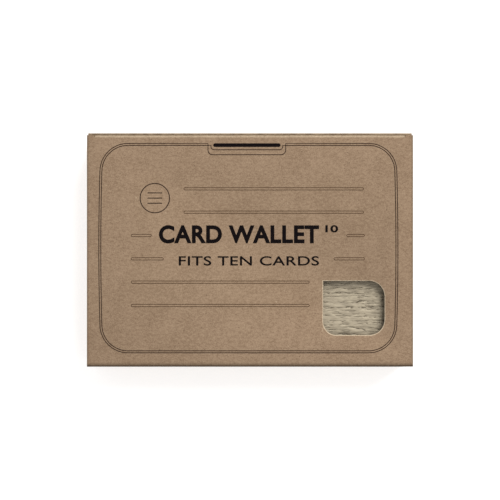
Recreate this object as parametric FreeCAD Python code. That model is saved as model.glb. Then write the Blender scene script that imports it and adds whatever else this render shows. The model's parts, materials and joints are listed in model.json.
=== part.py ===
import FreeCAD, Part
import math
import os

# A boxed card wallet. A kraft board carton, folded from one blank, lies on its back panel with the
# lid on top. The lid hinges on a scored crease along the rear wall and tucks in behind the front
# wall, and a window is cut through it. Loose inside lies a wallet of two embossed aluminium shells
# on plastic frames, hinged along the rear edge, latched at the front, with a fan of six pocket
# leaves between two pleated gussets.
#
# Millimetres. X is the carton's long side, Y points from the rear crease to the front wall and Z is
# up. The origin is the middle of the carton's underside. Left is -X, rear is -Y.

V = FreeCAD.Vector
X, Y, Z = V(1, 0, 0), V(0, 1, 0), V(0, 0, 1)
FAR = 500.0  # longer than the object, for cutting tools

# ---- Wallet: driving sizes ----
WALLET_LENGTH = 110.0
WALLET_WIDTH = 77.0
WALLET_DEPTH = 20.0
WALLET_CORNER = 10.3  # plan radius of the corners
WALLET_SIDE_BULGE = 0.75  # how far the short sides bow out
WALLET_EDGE_RADIUS = 8.0
SHELL = 0.8
PARTING_GAP = 0.3
GLUE_GAP = 0.05
FRAME_WALL = 1.6
FRAME_DEPTH = 5.5
LID_SWING = 50.0  # how far the wallet opens, in degrees

# ---- Carton: driving sizes ----
BOARD = 0.6  # thickness of the board
FOLD_INNER = 0.3  # inner radius of every fold
PLY_GAP = 0.1  # air between two boards that lie against each other
END_ROOM = 2.6  # air at each end of the wallet
REAR_ROOM, FRONT_ROOM = 4.6, 3.2
HEAD_ROOM, FLOOR_GAP = 2.7, 0.1
LID_OVERHANG = 0.4  # the lid's cut ends stand past the side walls by this
LID_LIFT_GAP = 0.05  # air between the side walls' tops and the lid
TUCK_LENGTH = 14.0
TUCK_LEAN = 8.0  # degrees that the tuck flap leans inwards from upright
TUCK_CLEARANCE = 0.12  # between the tuck flap and the front wall
TUCK_END_MARGIN = 3.0  # the flap stops short of each end of the lid by this
TUCK_CORNER = 6.0
CREASE_TAIL = 0.45  # straight stretch of the lid's crease below its curve
FRONT_WALL_DROP = 0.5  # the front wall's cut edge lies this far below the lid's face
CORNER_TAB_LENGTH = 20.0
CORNER_TAB_LOW_GAP = 0.6  # above the fold at the base
CORNER_TAB_HIGH_GAP = 0.75  # below the board that rolls over it
CORNER_TAB_SLANT = 5.0
ROLLOVER_MARGIN = 0.4  # the inner side walls stop short of the long walls by this
LOCK_TAB_LENGTH = 12.0
LOCK_TAB_SPACING = 44.0
SLOT_CLEARANCE = 0.15

# ---- Lid window: one square corner, three round ones ----
WINDOW_LENGTH = 22.6
WINDOW_WIDTH = 19.9
WINDOW_RIGHT_MARGIN = 10.5  # from the lid's right end
WINDOW_REAR_MARGIN = 11.7  # from the rear wall's face
WINDOW_CORNER = 5.7
WINDOW_LEFT_CORNER = 4.9

# ---- Wallet hinge ----
HINGE_END_MARGIN = 15.0  # from the wallet's short sides
KNUCKLES = 5  # odd ones belong to the lid
KNUCKLE_RADIUS = 2.1
KNUCKLE_GAP = 0.3
KNUCKLE_SINK = 0.2  # behind the wallet's rear face
PIN_RADIUS = 1.0
PIN_CLEARANCE = 0.05
PIN_END_GAP = 0.4
RELIEF_SPARE = 3.0  # degrees of room on each side of the swing

# ---- Latch ----
NOTCH_LENGTH = 28.3
NOTCH_DEPTH = 4.1
NOTCH_CORNER = 2.5
HOUSING_GAP = 0.15
HOUSING_SINK = 0.35  # below the shell's face
BUTTON_LENGTH = 24.9
BUTTON_THICKNESS = 1.45
BUTTON_LOW, BUTTON_HIGH = 0.5, 3.7  # above the parting plane
BUTTON_SINK = 0.05
BUTTON_CLEARANCE = 0.15
RECESS_DEPTH = 3.0
PUSHER_LENGTH, PUSHER_HEIGHT = 4.0, 1.6
PUSHER_CLEARANCE = 0.2
SPRING_SPACING = 15.0
SPRING_LENGTH, SPRING_CROWN = 7.0, 2.0
SPRING = 0.15  # thickness of the strip
SPRING_WIDTH = 1.8
CATCH_LENGTH = 12.0
CATCH = 0.4
CATCH_TOP, CATCH_BOTTOM = -0.5, -5.0
CATCH_LIP = 1.65  # how far the lip stands out from the frame
CATCH_GAP = 0.2  # between the hook and the lip above it
HOOK_GRIP = 0.5  # how far the hook reaches under the lip
TONGUE_LENGTH = 8.0
TONGUE = 0.4
TONGUE_GAP = 0.3  # between the tongue and the catch's lip
TONGUE_TOP, TONGUE_BOTTOM = 5.0, -3.4

# ---- Pocket leaves and gussets ----
LEAVES = 6
LEAF = 0.5
LEAF_END_MARGIN = 5.0  # from the wallet's short sides
LEAF_CORNER_INSET = 4.0
LEAF_REAR_GAP = 1.3  # from the hinge knuckles
LEAF_FRONT_GAP = 1.4  # from the clasp's tongue
SCOOP_RADIUS = 30.0
SCOOP_DEPTH = 6.0
END_PLATE = 0.8
END_PLATE_GAP = 0.2  # from the shell's floor
END_PLATE_INSET = 6.6
GUSSET = 0.2
GUSSET_FOLD_DEPTH = 5.4
GUSSET_OUTSIDE = 0.25  # gusset's middle line past the leaf's end
GUSSET_AIR = 0.02  # between the gusset's flange and the plate it is glued to
GUSSET_LEAF_AIR = 0.07
GUSSET_REAR_REACH, GUSSET_FRONT_REACH = 3.0, 2.3  # into the shells' rounded corners
GUSSET_FLANGE_SETBACK, GUSSET_FLANGE_WIDTH = 1.4, 4.6

# ---- Worked out from the sizes above ----
CREASE_RADIUS = BOARD + FOLD_INNER
CARTON_LENGTH = WALLET_LENGTH + 2 * (END_ROOM + 3 * BOARD + 2 * PLY_GAP + LID_OVERHANG)
CARTON_WIDTH = WALLET_WIDTH + REAR_ROOM + FRONT_ROOM + 2 * BOARD
CARTON_DEPTH = WALLET_DEPTH + FLOOR_GAP + HEAD_ROOM + 2 * BOARD

LONG_FACE = CARTON_WIDTH / 2  # outer face of the front and rear walls
LID_END = CARTON_LENGTH / 2
LID_TOP = CARTON_DEPTH
LID_UNDER = LID_TOP - BOARD

SIDE_FACE = LID_END - LID_OVERHANG  # outer face of the side walls
TAB_FACE = SIDE_FACE - BOARD - PLY_GAP
ROLL_FACE = TAB_FACE - BOARD - PLY_GAP
ROLL_INSIDE = ROLL_FACE - BOARD
SIDE_TOP = LID_UNDER - LID_LIFT_GAP
LONG_WALL_END = TAB_FACE - CREASE_RADIUS

LID_AXIS_Y = -LONG_FACE + CREASE_RADIUS
LID_AXIS_Z = LID_TOP - CREASE_RADIUS
TUCK_AXIS_Y = LONG_FACE - BOARD - TUCK_CLEARANCE - CREASE_RADIUS
TUCK_END = LID_END - TUCK_END_MARGIN

MIDDLE = BOARD + FLOOR_GAP + WALLET_DEPTH / 2  # height of the wallet's parting plane
WALLET_SHIFT = (REAR_ROOM - FRONT_ROOM) / 2  # forward of the carton's middle
WALLET_FRONT = WALLET_SHIFT + WALLET_WIDTH / 2
WALLET_REAR = WALLET_SHIFT - WALLET_WIDTH / 2
FRAME_INSET = SHELL + GLUE_GAP
FRAME_INNER = FRAME_INSET + FRAME_WALL  # inner face of the frames, behind the wallet's sides

HINGE_LENGTH = WALLET_LENGTH - 2 * HINGE_END_MARGIN
HINGE_SETBACK = KNUCKLE_RADIUS + KNUCKLE_SINK
HINGE_Y = WALLET_REAR + HINGE_SETBACK
KNUCKLE_ROOM = KNUCKLE_RADIUS + KNUCKLE_GAP

CATCH_LIP_REACH = FRAME_INNER + CATCH_LIP
HOOK_REACH = CATCH_LIP_REACH - HOOK_GRIP  # hook's tip, behind the wallet's front face
TONGUE_FACE = CATCH_LIP_REACH + TONGUE_GAP
PUSHER_REACH = TONGUE_FACE - PUSHER_CLEARANCE
PUSHER_LOW = (BUTTON_LOW + BUTTON_HIGH - PUSHER_HEIGHT) / 2

LEAF_REAR = HINGE_Y + KNUCKLE_RADIUS + LEAF_REAR_GAP
LEAF_FRONT = WALLET_FRONT - TONGUE_FACE - TONGUE - LEAF_FRONT_GAP
LEAF_END = WALLET_LENGTH / 2 - LEAF_END_MARGIN
END_PLATE_LEVEL = WALLET_DEPTH / 2 - SHELL - END_PLATE_GAP - END_PLATE  # plates' inner faces
LEAF_PITCH = 2 * END_PLATE_LEVEL / (LEAVES + 1)
GUSSET_OUTER = LEAF_END + GUSSET_OUTSIDE
GUSSET_INNER = GUSSET_OUTER - GUSSET_FOLD_DEPTH
GUSSET_FLANGE_END = LEAF_END - GUSSET_FLANGE_SETBACK
GUSSET_REAR = WALLET_REAR + WALLET_CORNER - GUSSET_REAR_REACH
GUSSET_FRONT = WALLET_FRONT - WALLET_CORNER + GUSSET_FRONT_REACH


# ---- Drawing helpers ----
def box(x0, x1, y0, y1, z0, z1):
    """A block between two opposite corners."""
    return Part.makeBox(x1 - x0, y1 - y0, z1 - z0, V(x0, y0, z0))


def in_plane(plane, u, v, height):
    """A point of a section: u and v in the plane named, height along its normal."""
    return {"xy": V(u, v, height), "yz": V(height, u, v), "xz": V(u, height, v)}[plane]


def extrude_wire(wire, plane, length):
    normal = {"xy": Z, "yz": X, "xz": Y}[plane]
    return Part.Face(wire).extrude(normal * length)


def prism(plane, points, low, high):
    """A straight-sided section drawn in a plane and extruded from low to high along its normal."""
    corners = [in_plane(plane, u, v, low) for u, v in points]
    return extrude_wire(Part.makePolygon(corners + corners[:1]), plane, high - low)


def polar(centre, radius, degrees):
    turn = math.radians(degrees)
    return centre[0] + radius * math.cos(turn), centre[1] + radius * math.sin(turn)


def fold(plane, centre, start, sweep, low, high):
    """The curved strip of board at a crease, from angle start round by sweep."""
    def at(radius, share):
        return in_plane(plane, *polar(centre, radius, start + share * sweep), low)

    outer = Part.Arc(at(CREASE_RADIUS, 0), at(CREASE_RADIUS, 0.5), at(CREASE_RADIUS, 1)).toShape()
    inner = Part.Arc(at(FOLD_INNER, 1), at(FOLD_INNER, 0.5), at(FOLD_INNER, 0)).toShape()
    ends = [Part.makeLine(at(CREASE_RADIUS, 1), at(FOLD_INNER, 1)),
            Part.makeLine(at(FOLD_INNER, 0), at(CREASE_RADIUS, 0))]
    return extrude_wire(Part.Wire([outer, ends[0], inner, ends[1]]), plane, high - low)


def round_edges(shape, radius, chosen):
    """Rounds the edges whose middle and direction satisfy chosen(middle, direction)."""
    edges = []
    for edge in shape.Edges:
        first, last = edge.ParameterRange
        middle = edge.valueAt((first + last) / 2)
        if chosen(middle, edge.tangentAt((first + last) / 2)):
            edges.append(edge)
    return shape.makeFillet(radius, edges)


def mirror_x(shape):
    return shape.mirror(V(0, 0, 0), X)


def joined(shapes):
    whole = shapes[0].fuse(shapes[1:])
    return whole.removeSplitter()


# ---- Carton ----
def base_panel():
    """The back panel, with the slots that the inner side walls' lock tabs drop into."""
    half_length = SIDE_FACE - CREASE_RADIUS
    half_width = LONG_FACE - CREASE_RADIUS
    panel = box(-half_length, half_length, -half_width, half_width, 0, BOARD)
    for place in lock_tab_places():
        slot = box(ROLL_INSIDE - SLOT_CLEARANCE, ROLL_FACE + SLOT_CLEARANCE,
                   place - SLOT_CLEARANCE, place + LOCK_TAB_LENGTH + SLOT_CLEARANCE, -1, BOARD + 1)
        panel = panel.cut([slot, mirror_x(slot)])
    return panel


def lock_tab_places():
    """Where each lock tab starts along Y."""
    return [side * LOCK_TAB_SPACING / 2 - LOCK_TAB_LENGTH / 2 for side in (-1, 1)]


def long_wall(side, top):
    """The rear (side -1) or front (side 1) wall, with its fold to the base."""
    centre = (side * (LONG_FACE - CREASE_RADIUS), CREASE_RADIUS)
    bend = fold("yz", centre, 270, side * 90, -LONG_WALL_END, LONG_WALL_END)
    inside, outside = sorted((side * (LONG_FACE - BOARD), side * LONG_FACE))
    flat = box(-LONG_WALL_END, LONG_WALL_END, inside, outside, CREASE_RADIUS, top)
    return joined([bend, flat])


def rear_wall():
    return long_wall(-1, LID_AXIS_Z - CREASE_TAIL)


def front_wall():
    """The wall that the lid tucks behind, with a shoulder over the end of each side wall."""
    top = LID_TOP - FRONT_WALL_DROP
    shoulder = box(LONG_WALL_END, SIDE_FACE, LONG_FACE - BOARD, LONG_FACE,
                   SIDE_TOP - CREASE_RADIUS + PLY_GAP, top)
    return joined([long_wall(1, top), shoulder, mirror_x(shoulder)])


def corner_tab(side):
    """A right-hand flap at an end of a long wall, folded in between the two plies of the side wall."""
    low = CREASE_RADIUS + CORNER_TAB_LOW_GAP
    high = SIDE_TOP - BOARD - CORNER_TAB_HIGH_GAP
    start = LONG_FACE - CREASE_RADIUS
    bend = fold("xy", (LONG_WALL_END, start), 90, -90, low, high)
    tip = start - CORNER_TAB_LENGTH
    outline = [(start, low), (start, high), (tip, high - CORNER_TAB_SLANT / 2),
               (tip, low + CORNER_TAB_SLANT)]
    flat = prism("yz", outline, TAB_FACE - BOARD, TAB_FACE)
    tab = joined([bend, flat])
    return tab if side > 0 else tab.mirror(V(0, 0, 0), Y)


def side_wall():
    """The right-hand outer side wall, with its fold to the base."""
    centre = (SIDE_FACE - CREASE_RADIUS, CREASE_RADIUS)
    half_width = LONG_FACE - CREASE_RADIUS
    bend = fold("xz", centre, 270, 90, -half_width, half_width)
    edge = LONG_FACE - PLY_GAP
    flat = box(SIDE_FACE - BOARD, SIDE_FACE, -edge, edge, CREASE_RADIUS, SIDE_TOP - CREASE_RADIUS)
    return joined([bend, flat])


def rollover_wall():
    """The right-hand inner side wall: over the top of the outer one, down, and locked into the base."""
    half_width = LONG_FACE - BOARD - ROLLOVER_MARGIN
    turn_z = SIDE_TOP - CREASE_RADIUS
    outer_x, inner_x = SIDE_FACE - CREASE_RADIUS, ROLL_INSIDE + CREASE_RADIUS
    pieces = [
        fold("xz", (outer_x, turn_z), 0, 90, -half_width, half_width),
        box(inner_x, outer_x, -half_width, half_width, SIDE_TOP - BOARD, SIDE_TOP),
        fold("xz", (inner_x, turn_z), 90, 90, -half_width, half_width),
        box(ROLL_INSIDE, ROLL_FACE, -half_width, half_width, BOARD + LID_LIFT_GAP, turn_z),
    ]
    for place in lock_tab_places():
        pieces.append(box(ROLL_INSIDE, ROLL_FACE, place, place + LOCK_TAB_LENGTH,
                          LID_LIFT_GAP, BOARD + LID_LIFT_GAP))
    return joined(pieces)


def window_cutter():
    """The window's outline through the lid: square at the front left, round at the other corners."""
    right = LID_END - WINDOW_RIGHT_MARGIN
    left = right - WINDOW_LENGTH
    rear = -LONG_FACE + WINDOW_REAR_MARGIN
    front = rear + WINDOW_WIDTH
    block = box(left, right, rear, front, LID_UNDER - 1, LID_TOP + 1)

    def upright_at(x_side, y_side):
        return lambda middle, way: (abs(way.z) > 0.9 and (middle.x - (left + right) / 2) * x_side > 0
                                    and (middle.y - (rear + front) / 2) * y_side > 0)

    for x_side, y_side, radius in ((1, 1, WINDOW_CORNER), (1, -1, WINDOW_CORNER),
                                   (-1, -1, WINDOW_LEFT_CORNER)):
        block = round_edges(block, radius, upright_at(x_side, y_side))
    return block


def lid_panel():
    """The lid's face, with an ear at each end of the tuck crease."""
    face = box(-LID_END, LID_END, LID_AXIS_Y, TUCK_AXIS_Y, LID_UNDER, LID_TOP)
    ear = box(TUCK_END + PLY_GAP, LID_END, TUCK_AXIS_Y, TUCK_AXIS_Y + CREASE_RADIUS,
              LID_UNDER, LID_TOP)
    return joined([face, ear, mirror_x(ear)]).cut(window_cutter())


def lid_crease():
    """The scored strip of board that the lid turns on."""
    curve = fold("yz", (LID_AXIS_Y, LID_AXIS_Z), 90, 90, -LID_END, LID_END)
    tail = box(-LID_END, LID_END, -LONG_FACE, -LONG_FACE + BOARD,
               LID_AXIS_Z - CREASE_TAIL, LID_AXIS_Z)
    return joined([curve, tail])


def tuck_crease():
    centre = (TUCK_AXIS_Y, LID_AXIS_Z)
    return fold("yz", centre, 90, -90 - TUCK_LEAN, -TUCK_END, TUCK_END)


def tuck_flap():
    """The flap that slips in behind the front wall, with its two free corners rounded."""
    upright = box(-TUCK_END, TUCK_END, TUCK_AXIS_Y + FOLD_INNER, TUCK_AXIS_Y + CREASE_RADIUS,
                  LID_AXIS_Z - TUCK_LENGTH, LID_AXIS_Z)
    flap = round_edges(upright, TUCK_CORNER, lambda middle, way: abs(way.y) > 0.9
                       and middle.z < LID_AXIS_Z - TUCK_LENGTH / 2)
    return flap.rotate(V(0, TUCK_AXIS_Y, LID_AXIS_Z), X, -TUCK_LEAN)


# ---- Wallet: shells and frames ----
def wallet_outline(inset, height):
    """The wallet's plan: straight long sides, bowed short sides, round corners, all tangent."""
    half_length = WALLET_LENGTH / 2 - inset
    half_width = WALLET_WIDTH / 2 - inset
    corner = WALLET_CORNER - inset
    bulge = WALLET_SIDE_BULGE
    side_radius = ((WALLET_WIDTH / 2) ** 2 + bulge ** 2) / (2 * bulge) - inset
    corner_y = half_width - corner
    side_centre = half_length - side_radius
    corner_x = side_centre + math.sqrt((side_radius - corner) ** 2 - corner_y ** 2)
    reach = math.hypot(corner_x - side_centre, corner_y)
    touch_x = side_centre + side_radius * (corner_x - side_centre) / reach
    touch_y = side_radius * corner_y / reach
    half_turn = math.radians(45) + math.atan2(corner_y, corner_x - side_centre) / 2
    bend_x = corner_x + corner * math.cos(half_turn)
    bend_y = corner_y + corner * math.sin(half_turn)

    def at(x, y):
        return V(x, WALLET_SHIFT + y, height)

    def corner_arc(sx, sy):
        return Part.Arc(at(sx * touch_x, sy * touch_y), at(sx * bend_x, sy * bend_y),
                        at(sx * corner_x, sy * half_width)).toShape()

    edges = [corner_arc(sx, sy) for sx in (-1, 1) for sy in (-1, 1)]
    for sign in (-1, 1):
        edges.append(Part.Arc(at(sign * touch_x, -touch_y), at(sign * half_length, 0),
                              at(sign * touch_x, touch_y)).toShape())
        edges.append(Part.makeLine(at(-corner_x, sign * half_width), at(corner_x, sign * half_width)))
    return Part.Wire(Part.__sortEdges__(edges))


def column(inset, low, high):
    """The wallet's plan, extruded between two heights above its middle."""
    return extrude_wire(wallet_outline(inset, MIDDLE + low), "xy", high - low)


def pillow(inset):
    """The closed wallet's outer form, shrunk all round by inset."""
    half = WALLET_DEPTH / 2 - inset
    block = column(inset, -half, half)
    rim = half - 0.01
    return round_edges(block, WALLET_EDGE_RADIUS - inset,
                       lambda middle, way: abs(middle.z - MIDDLE) > rim)


def half_space(side, gap):
    """Everything above (side 1) or below (side -1) the parting plane, less half the gap."""
    start, end = sorted((side * gap / 2, side * FAR))
    return box(-FAR, FAR, -FAR, FAR, MIDDLE + start, MIDDLE + end)


def hinge_relief():
    """Room for the lid to swing: a wedge at the parting plane and a trough for the knuckles."""
    rise = math.tan(math.radians(LID_SWING / 2 + RELIEF_SPARE))
    apex = HINGE_Y + PARTING_GAP
    depth = 2 * HINGE_SETBACK + apex - HINGE_Y
    wedge = prism("yz", [(apex, MIDDLE), (apex - depth, MIDDLE + depth * rise),
                         (apex - depth, MIDDLE - depth * rise)], -FAR, FAR)
    end = HINGE_LENGTH / 2 + KNUCKLE_GAP
    trough = box(-end, end, HINGE_Y - 2 * HINGE_SETBACK, HINGE_Y + KNUCKLE_ROOM,
                 MIDDLE - KNUCKLE_ROOM, MIDDLE + KNUCKLE_ROOM)
    return [wedge, trough]


def notch_cutter(corner):
    """The latch's notch in the front of the lid, seen from above."""
    half = NOTCH_LENGTH / 2
    block = box(-half, half, WALLET_FRONT - NOTCH_DEPTH, WALLET_FRONT + NOTCH_DEPTH,
                MIDDLE, MIDDLE + WALLET_DEPTH)
    if not corner:
        return block
    return round_edges(block, corner, lambda middle, way: abs(way.z) > 0.9
                       and middle.y < WALLET_FRONT)


def shell(side):
    skin = pillow(0).cut(pillow(SHELL)).common(half_space(side, PARTING_GAP))
    return skin.cut(hinge_relief())


def back_shell():
    return shell(-1)


def front_shell():
    return shell(1).cut(notch_cutter(NOTCH_CORNER))


def knuckle_spans(owner):
    """The stretches of the hinge that belong to the base (0) or the lid (1)."""
    step = HINGE_LENGTH / KNUCKLES
    starts = [-HINGE_LENGTH / 2 + step * n for n in range(KNUCKLES) if n % 2 == owner]
    return [(start + KNUCKLE_GAP / 2, start + step - KNUCKLE_GAP / 2) for start in starts]


def frame(side):
    """The plastic rim bonded inside a shell, with its hinge knuckles."""
    low, high = sorted((side * PARTING_GAP / 2, side * FRAME_DEPTH))
    rim = pillow(FRAME_INSET).common(column(0, low, high)).cut(column(FRAME_INNER, -FAR, FAR))
    rim = rim.cut(hinge_relief())
    web_inside = WALLET_REAR + FRAME_INNER
    pieces = [rim]
    for start, end in knuckle_spans(0 if side < 0 else 1):
        barrel = Part.makeCylinder(KNUCKLE_RADIUS, end - start, V(start, HINGE_Y, MIDDLE), X)
        web_low, web_high = sorted((0, side * (KNUCKLE_ROOM + KNUCKLE_GAP)))
        web = box(start, end, HINGE_Y - PIN_RADIUS, web_inside, MIDDLE + web_low, MIDDLE + web_high)
        pieces += [barrel, web]
    bore = Part.makeCylinder(PIN_RADIUS + PIN_CLEARANCE, 2 * HINGE_LENGTH,
                             V(-HINGE_LENGTH, HINGE_Y, MIDDLE), X)
    return joined(pieces).cut(bore)


def back_frame():
    return frame(-1)


def front_frame():
    return frame(1).cut(notch_cutter(0))


def hinge_pin():
    length = HINGE_LENGTH - KNUCKLE_GAP - PIN_END_GAP
    return Part.makeCylinder(PIN_RADIUS, length, V(-length / 2, HINGE_Y, MIDDLE), X)


# ---- Wallet: pockets ----
def leaf_levels():
    """Heights of the leaves above the wallet's middle, lowest first."""
    return [LEAF_PITCH * (n - (LEAVES - 1) / 2) for n in range(LEAVES)]


def pocket_leaf(level):
    """A stiff divider with a thumb scoop in its front edge."""
    low, high = level - LEAF / 2, level + LEAF / 2
    sheet = column(LEAF_CORNER_INSET, low, high)
    sheet = sheet.common(box(-LEAF_END, LEAF_END, LEAF_REAR, LEAF_FRONT, MIDDLE + low, MIDDLE + high))
    scoop = Part.makeCylinder(SCOOP_RADIUS, 2 * WALLET_DEPTH,
                              V(0, LEAF_FRONT + SCOOP_RADIUS - SCOOP_DEPTH, MIDDLE - WALLET_DEPTH), Z)
    return sheet.cut(scoop)


def end_plate(side):
    """The stiff end of the pocket fan, bonded to a shell's floor."""
    low, high = sorted((side * END_PLATE_LEVEL, side * (END_PLATE_LEVEL + END_PLATE)))
    return column(END_PLATE_INSET, low, high)


def gusset_line():
    """The middle line of the right-hand gusset, as (x, height): a flange at each end plate, a flat
    at each leaf's end and a fold between."""
    flat = LEAF / 2 + GUSSET / 2 + GUSSET_LEAF_AIR
    flange = END_PLATE_LEVEL - GUSSET / 2 - GUSSET_AIR
    levels = leaf_levels()
    fold_low = (levels[0] - END_PLATE_LEVEL) / 2
    line = [(GUSSET_FLANGE_END - GUSSET_FLANGE_WIDTH, -flange), (GUSSET_FLANGE_END, -flange),
            (GUSSET_INNER, fold_low)]
    for number, level in enumerate(levels):
        line += [(GUSSET_OUTER, level - flat), (GUSSET_OUTER, level + flat)]
        if number < LEAVES - 1:
            line.append((GUSSET_INNER, level + LEAF_PITCH / 2))
    mirrored = [(x, -height) for x, height in line[:3]]
    return line + mirrored[::-1]


def thicken(line, thickness):
    """The closed outline of a strip of even thickness along an open line, with mitred corners."""
    def unit(a, b):
        length = math.hypot(b[0] - a[0], b[1] - a[1])
        return (b[0] - a[0]) / length, (b[1] - a[1]) / length

    sides = {1: [], -1: []}
    for n, (x, y) in enumerate(line):
        before = unit(line[n - 1], line[n]) if n else unit(line[0], line[1])
        after = unit(line[n], line[n + 1]) if n < len(line) - 1 else before
        normal = (-before[1] - after[1], before[0] + after[0])
        scale = 2 / (normal[0] ** 2 + normal[1] ** 2)
        for side in sides:
            reach = side * thickness / 2 * scale
            sides[side].append((x + reach * normal[0], y + reach * normal[1]))
    return sides[1] + sides[-1][::-1]


def gusset():
    """The right-hand pleated side of the pockets."""
    outline = [(x, MIDDLE + height) for x, height in thicken(gusset_line(), GUSSET)]
    return prism("xz", outline, GUSSET_REAR, GUSSET_FRONT)


# ---- Wallet: latch ----
def front_block(length, near, far, low, high):
    """A block centred on the wallet's front: near and far are distances behind its front face."""
    return box(-length / 2, length / 2, WALLET_FRONT - far, WALLET_FRONT - near,
               MIDDLE + low, MIDDLE + high)


def latch_housing():
    """Fills the lid's notch and guides the button."""
    block = front_block(NOTCH_LENGTH - 2 * HOUSING_GAP, 0, NOTCH_DEPTH - HOUSING_GAP,
                        PARTING_GAP, WALLET_DEPTH)
    block = round_edges(block, NOTCH_CORNER - HOUSING_GAP,
                        lambda middle, way: abs(way.z) > 0.9 and middle.y < WALLET_FRONT - 1)
    housing = pillow(HOUSING_SINK).common(block)
    recess = front_block(BUTTON_LENGTH + 2 * BUTTON_CLEARANCE, -1, RECESS_DEPTH,
                         0, BUTTON_HIGH + BUTTON_CLEARANCE)
    hole = front_block(PUSHER_LENGTH + 2 * PUSHER_CLEARANCE, 0, 2 * NOTCH_DEPTH,
                       PUSHER_LOW - PUSHER_CLEARANCE, PUSHER_LOW + PUSHER_HEIGHT + PUSHER_CLEARANCE)
    return housing.cut([recess, hole])


def latch_button():
    """The bar under the thumb, with the pusher that moves the clasp's tongue."""
    block = front_block(BUTTON_LENGTH, 0, BUTTON_THICKNESS, BUTTON_LOW, BUTTON_HIGH)
    bar = pillow(BUTTON_SINK).common(block)
    pusher = front_block(PUSHER_LENGTH, BUTTON_THICKNESS - GLUE_GAP, PUSHER_REACH,
                         PUSHER_LOW, PUSHER_LOW + PUSHER_HEIGHT)
    return joined([bar, pusher])


def latch_springs():
    """Two bowed strips between the button and the back of its recess."""
    crown = WALLET_FRONT - BUTTON_THICKNESS - GLUE_GAP - SPRING / 2
    feet = WALLET_FRONT - RECESS_DEPTH + GLUE_GAP + SPRING
    line = [(-SPRING_LENGTH / 2, feet), (-SPRING_CROWN / 2, crown),
            (SPRING_CROWN / 2, crown), (SPRING_LENGTH / 2, feet)]
    level = MIDDLE + (BUTTON_LOW + BUTTON_HIGH) / 2
    strip = prism("xy", thicken(line, SPRING), level - SPRING_WIDTH / 2, level + SPRING_WIDTH / 2)
    places = [V(side * SPRING_SPACING / 2, 0, 0) for side in (-1, 1)]
    return Part.makeCompound([strip.translated(place) for place in places])


def clasp_tongue():
    """The sprung strip on the lid whose hook snaps under the catch."""
    back = TONGUE_FACE + TONGUE
    strip = front_block(TONGUE_LENGTH, TONGUE_FACE, back, TONGUE_BOTTOM, TONGUE_TOP)
    foot = front_block(TONGUE_LENGTH, NOTCH_DEPTH - HOUSING_GAP, back, TONGUE_TOP - TONGUE, TONGUE_TOP)
    hook = front_block(TONGUE_LENGTH, HOOK_REACH, back, TONGUE_BOTTOM, TONGUE_BOTTOM + TONGUE)
    return joined([strip, foot, hook])


def catch_plate():
    """The lipped plate on the base's frame that holds the tongue's hook."""
    lip_low = TONGUE_BOTTOM + TONGUE + CATCH_GAP
    plate = front_block(CATCH_LENGTH, FRAME_INNER, FRAME_INNER + CATCH, CATCH_BOTTOM, CATCH_TOP)
    lip = front_block(CATCH_LENGTH, FRAME_INNER, CATCH_LIP_REACH, lip_low, lip_low + CATCH)
    return joined([plate, lip])


def all_nodes():
    """Every node's name and shape."""
    nodes = {
        "base_panel": base_panel(),
        "rear_wall": rear_wall(),
        "front_wall": front_wall(),
        "lid_panel": lid_panel(),
        "lid_crease": lid_crease(),
        "tuck_crease": tuck_crease(),
        "tuck_flap": tuck_flap(),
        "back_shell": back_shell(),
        "back_frame": back_frame(),
        "front_shell": front_shell(),
        "front_frame": front_frame(),
        "hinge_pin": hinge_pin(),
        "pocket_end_base": end_plate(-1),
        "pocket_end_lid": end_plate(1),
        "latch_housing": latch_housing(),
        "latch_button": latch_button(),
        "latch_springs": latch_springs(),
        "clasp_tongue": clasp_tongue(),
        "catch_plate": catch_plate(),
    }
    pairs = {
        "side_wall": side_wall(),
        "rollover_wall": rollover_wall(),
        "corner_tab_front": corner_tab(1),
        "corner_tab_rear": corner_tab(-1),
        "pocket_gusset": gusset(),
    }
    for name, shape in pairs.items():
        nodes[name + "_right"] = shape
        nodes[name + "_left"] = mirror_x(shape)
    for number, level in enumerate(leaf_levels(), 1):
        nodes[f"pocket_leaf_{number}"] = pocket_leaf(level)
    return nodes


os.makedirs("parts", exist_ok=True)
for name, shape in sorted(all_nodes().items()):
    shape.exportStep(f"parts/{name}.step")
    low, high = shape.BoundBox.ZMin, shape.BoundBox.ZMax
    print(f"{name:24s} {len(shape.Solids)} solid(s) {shape.Volume:9.2f} mm3  z {low:6.2f} to {high:6.2f}")
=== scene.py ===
# %% [markdown]
# # A boxed card wallet
# A slim aluminium card wallet is sold in a shallow carton of brown kraft board. The lid is printed
# with a life-size line drawing of the wallet, and a window cut through it shows a patch of the real
# shell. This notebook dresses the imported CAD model: it loads the frame first, so every size and
# place below is read from it, in metres.

# %% Load the frame
import json
import math
from itertools import pairwise

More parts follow.
